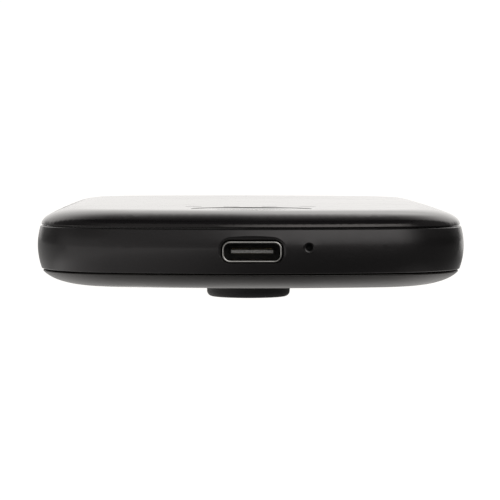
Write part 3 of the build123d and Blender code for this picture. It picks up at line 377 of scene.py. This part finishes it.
# ================================================================ studio
# The floor and the studio round it show white to the camera, and light the object with the levels below.
# Each list is a curve of (where, level) stops, and each pair says where a change begins and ends.
class Stage(Surface):
    """Shader nodes of the floor or of the studio, in a tree that is there already."""

    def __init__(self, tree, coordinate):
        self.nodes, self.links = tree.nodes, tree.links
        self.place = self.nodes.new("ShaderNodeTexCoord").outputs[coordinate]

    def level_horizontal(self):
        """Direction with its height left out, at unit length."""
        flat = self.nodes.new("ShaderNodeVectorMath")
        flat.operation = "MULTIPLY"
        self.links.new(self.place, flat.inputs[0])
        flat.inputs[1].default_value = (1.0, 1.0, 0.0)
        unit = self.nodes.new("ShaderNodeVectorMath")
        unit.operation = "NORMALIZE"
        self.links.new(flat.outputs[0], unit.inputs[0])
        return unit.outputs[0]

    def curve(self, value, stops):
        """Level by value, straight between the stops and flat beyond them."""
        result = stops[0][1]
        for (low, before), (high, after) in zip(stops, stops[1:]):
            step = self.spread(value, low, high, 0.0, after - before)
            result = self.math("ADD", step, result)
        return result

    def fade(self, value, low, high):
        """0 up to low, 1 from high, smooth between."""
        return self.spread(value, low, high, 0.0, 1.0, smooth=True)

    def blend(self, factor, first, second):
        node = self.nodes.new("ShaderNodeMix")
        node.data_type = "FLOAT"
        self.put(factor, node.inputs[0])
        for number, value in zip(MIX_NUMBERS, (first, second)):
            self.put(value, node.inputs[number])
        return node.outputs[MIXED_NUMBER]

    def camera_sees(self, level, otherwise):
        path = self.nodes.new("ShaderNodeLightPath")
        return self.blend(path.outputs["Is Camera Ray"], otherwise, level)


STUDIO_TINT = (1.0, 0.982, 0.962)
BACKDROP_SEEN = 1.05

# ---------------------------------------------------------------- floor, with places in metres
FLOOR_HALF = 4.0
FLOOR_Z = -0.05 * MM              # just clear of the foot
FLOOR_SEEN = 1.04                 # as the camera sees it, before the studio adds to it
FLOOR_ALBEDO = 0.12
FLOOR_UNDER = [(-0.150, 0.28), (-0.066, 0.32), (-0.048, 0.40), (-0.038, 0.72), (-0.030, 0.80),
               (-0.012, 0.68), (0.008, 0.78), (0.026, 0.98), (0.036, 0.95), (0.060, 0.35),
               (0.100, 1.0)]      # below and behind the object, along X
FLOOR_FRONT = [(-0.055, 0.70), (-0.030, 0.40), (-0.015, 0.25), (0.0, 0.06), (0.02, 0.02)]
FLOOR_FRONT_Y = (-0.061, -0.040)  # where the front turns into the part below
FLOOR_LEFT = [(-0.150, 0.0), (-0.066, 0.30), (-0.048, 0.56), (-0.038, 0.0)]
FLOOR_LEFT_Y = (-0.042, -0.026)   # where this extra light by the front left corner ends
FLOOR_FOOT = [(-0.025, 1.0), (-0.018, 2.8), (-0.009, 2.0), (-0.003, 0.75), (0.010, 0.45),
              (0.020, 0.45), (0.028, 1.0)]
FLOOR_FOOT_Y = (-0.038, -0.026)   # where this factor begins, which is brighter to the foot's left
FLOOR_RIGHT_X = (0.028, 0.046)    # where the right side turns dark
FLOOR_BACK_SLOPE = 1.3
FLOOR_BACK = (-0.105, -0.010)     # where it turns bright again, by Y less X times the slope


def floor_level(stage):
    """Brightness of the floor as the object sees it."""
    x, y, _ = stage.parts(stage.place)
    below = stage.fade(y, *FLOOR_FRONT_Y)
    right = stage.fade(x, *FLOOR_RIGHT_X)
    turned = stage.math("SUBTRACT", y, stage.math("MULTIPLY", x, FLOOR_BACK_SLOPE))
    near = stage.spread(turned, *FLOOR_BACK, 1.0, 0.0)
    bright = stage.math("MULTIPLY", below, stage.math("SUBTRACT", 1.0, stage.math("MULTIPLY", right, near)))
    left = stage.math("MULTIPLY", stage.curve(x, FLOOR_LEFT),
                      stage.spread(y, *FLOOR_LEFT_Y, 1.0, 0.0, smooth=True))
    by_foot = stage.blend(stage.fade(y, *FLOOR_FOOT_Y), 1.0, stage.curve(x, FLOOR_FOOT))
    under = stage.math("MULTIPLY", stage.curve(x, FLOOR_UNDER), by_foot)
    return stage.blend(bright, stage.curve(x, FLOOR_FRONT), stage.math("ADD", under, left))


def floor_material():
    material = bpy.data.materials.new("floor")
    material.use_nodes = True
    stage = Stage(material.node_tree, "Object")
    stage.nodes.remove(stage.nodes["Principled BSDF"])
    glow = stage.nodes.new("ShaderNodeEmission")
    glow.inputs["Color"].default_value = (*STUDIO_TINT, 1.0)
    stage.links.new(stage.camera_sees(FLOOR_SEEN, floor_level(stage)), glow.inputs["Strength"])
    matt = stage.nodes.new("ShaderNodeBsdfDiffuse")
    matt.inputs["Color"].default_value = (FLOOR_ALBEDO, FLOOR_ALBEDO, FLOOR_ALBEDO, 1.0)
    both = stage.nodes.new("ShaderNodeAddShader")
    stage.links.new(glow.outputs[0], both.inputs[0])
    stage.links.new(matt.outputs[0], both.inputs[1])
    stage.links.new(both.outputs[0], stage.nodes["Material Output"].inputs["Surface"])
    return material


floor_mesh = bpy.data.meshes.new("floor")
corners = [(x * FLOOR_HALF, y * FLOOR_HALF, FLOOR_Z) for x, y in ((-1, -1), (1, -1), (1, 1), (-1, 1))]
floor_mesh.from_pydata(corners, [], [(0, 1, 2, 3)])
floor = bpy.data.objects.new("floor", floor_mesh)
floor_mesh.materials.append(floor_material())
bpy.context.scene.collection.objects.link(floor)

# ---------------------------------------------------------------- studio round the object
# A height is the sine of the angle above the horizon. Side and depth are X and Y of the level direction.
BACK_BY_HEIGHT = [(0.0, 0.97), (0.05, 1.0), (0.08, 1.1), (0.12, 1.2), (0.30, 1.38), (0.50, 1.40),
                  (0.60, 1.22), (0.68, 0.92), (0.79, 0.48), (0.87, 0.28), (0.96, 0.10), (1.0, 0.06)]
BACK_BY_SIDE = [(-0.6, 0.98), (0.0, 1.0), (0.07, 1.03), (0.35, 1.12)]
BACK_DEPTH_LOW = (0.76, 0.95)     # where the back begins, near the horizon
BACK_DEPTH_HIGH = (0.50, 0.78)    # and higher up
BACK_LOW_TO_HIGH = (0.06, 0.38)
OVERHEAD_BY_SIDE = [(-0.02, 1.0), (0.03, 1.28), (0.18, 1.5), (0.36, 1.0)]
OVERHEAD_HEIGHT = (0.35, 0.60)
LOW_BY_SIDE = [(-1.0, 0.40), (-0.77, 0.44), (-0.34, 0.25), (0.0, 0.12), (0.34, 0.05), (1.0, 0.03)]
LOW_BY_DEPTH = [(0.0, 1.0), (0.35, 0.2)]
HIGH_BY_SIDE = [(-1.0, 0.25), (-0.5, 0.85), (0.0, 1.0), (1.0, 0.4)]
HIGH_BY_HEIGHT = [(0.0, 0.40), (0.72, 0.37), (0.85, 0.10), (1.0, 0.06)]
LOW_TO_HIGH = (0.12, 0.36)
KEY_LEVEL = 1.24
KEY_BY_SIDE = [(-0.15, 0.0), (0.05, 0.55), (0.25, 1.0), (0.68, 1.0), (0.88, 0.35), (0.96, 0.0)]
KEY_BY_HEIGHT = [(0.05, 0.0), (0.22, 0.8), (0.42, 0.95), (0.60, 1.45), (0.72, 0.9), (0.82, 0.0)]
KEY_DEPTH = (0.0, 0.2)            # where the key's glow ends


def studio_front(stage, height, side, depth):
    """Brightness of the studio's front half: its low and high parts, and the glow of the key."""
    low = stage.math("MULTIPLY", stage.curve(side, LOW_BY_SIDE), stage.curve(depth, LOW_BY_DEPTH))
    high = stage.math("MULTIPLY", stage.curve(side, HIGH_BY_SIDE), stage.curve(height, HIGH_BY_HEIGHT))
    front = stage.blend(stage.fade(height, *LOW_TO_HIGH), low, high)
    key = stage.math("MULTIPLY", stage.curve(side, KEY_BY_SIDE), stage.curve(height, KEY_BY_HEIGHT))
    ahead = stage.spread(depth, *KEY_DEPTH, KEY_LEVEL, 0.0, smooth=True)
    return stage.math("ADD", front, stage.math("MULTIPLY", key, ahead))


def studio_back(stage, height, side):
    """Brightness of the studio behind the object."""
    back = stage.math("MULTIPLY", stage.curve(side, BACK_BY_SIDE), stage.curve(height, BACK_BY_HEIGHT))
    overhead = stage.blend(stage.fade(height, *OVERHEAD_HEIGHT), 1.0, stage.curve(side, OVERHEAD_BY_SIDE))
    return stage.math("MULTIPLY", back, overhead)


def studio_world():
    world = bpy.data.worlds.new("studio")
    bpy.context.scene.world = world
    world.use_nodes = True
    stage = Stage(world.node_tree, "Generated")
    height = stage.parts(stage.place)[2]
    side, depth, _ = stage.parts(stage.level_horizontal())
    behind = stage.blend(stage.fade(height, *BACK_LOW_TO_HIGH),
                         stage.fade(depth, *BACK_DEPTH_LOW), stage.fade(depth, *BACK_DEPTH_HIGH))
    level = stage.blend(behind, studio_front(stage, height, side, depth), studio_back(stage, height, side))
    background = stage.nodes["Background"]
    background.inputs["Color"].default_value = (*STUDIO_TINT, 1.0)
    stage.links.new(stage.camera_sees(BACKDROP_SEEN, level), background.inputs["Strength"])


# ---------------------------------------------------------------- key light, at the front right
KEY_AZIMUTH = 27.0                # degrees from the port end's direction towards +X
KEY_ELEVATION = 27.0              # degrees
KEY_DISTANCE = 1.2
KEY_SIZE = (1.3, 0.9)
KEY_RADIANCE = 0.25
KEY_COLOUR = (1.0, 0.985, 0.96)


def key_light():
    """Area light aimed at the middle of the case."""
    light = bpy.data.lights.new("key", "AREA")
    light.shape = "RECTANGLE"
    light.size, light.size_y = KEY_SIZE
    light.energy = math.pi * KEY_SIZE[0] * KEY_SIZE[1] * KEY_RADIANCE
    light.color = KEY_COLOUR
    lamp = bpy.data.objects.new("key", light)
    bpy.context.scene.collection.objects.link(lamp)
    azimuth, elevation = math.radians(KEY_AZIMUTH), math.radians(KEY_ELEVATION)
    away = Vector((math.sin(azimuth) * math.cos(elevation), -math.cos(azimuth) * math.cos(elevation),
                   math.sin(elevation)))
    lamp.location = Vector((0.0, 0.0, cad_high.z / 2)) + away * KEY_DISTANCE
    lamp.rotation_mode = "QUATERNION"
    lamp.rotation_quaternion = away.to_track_quat("Z", "Y")


studio_world()
key_light()

# ================================================================ camera
LENS_MM = 179.8
SENSOR_MM = 36.0
CAMERA_X = -4.4 * MM
CAMERA_BACK = 370.0 * MM          # distance in front of the port end
CAMERA_HEIGHT = 26.8 * MM
TURN_DEGREES = 0.63               # to the right
DOWN_DEGREES = 2.568
ROLL_DEGREES = 0.1

camera_data = bpy.data.cameras.new("camera")
camera = bpy.data.objects.new("camera", camera_data)
bpy.context.scene.collection.objects.link(camera)
bpy.context.scene.camera = camera
camera_data.sensor_width = SENSOR_MM
camera_data.lens = LENS_MM
camera_data.clip_start = 0.01
camera_data.clip_end = 50.0
turn, down = math.radians(TURN_DEGREES), math.radians(DOWN_DEGREES)
forward = Vector((math.sin(turn) * math.cos(down), math.cos(turn) * math.cos(down), -math.sin(down)))
camera.location = (CAMERA_X, cad_low.y - CAMERA_BACK, CAMERA_HEIGHT)
camera.rotation_mode = "QUATERNION"
roll = Matrix.Rotation(math.radians(ROLL_DEGREES), 3, "Z").to_quaternion()
camera.rotation_quaternion = forward.to_track_quat("-Z", "Y") @ roll

bpy.context.scene.view_settings.view_transform = "Standard"
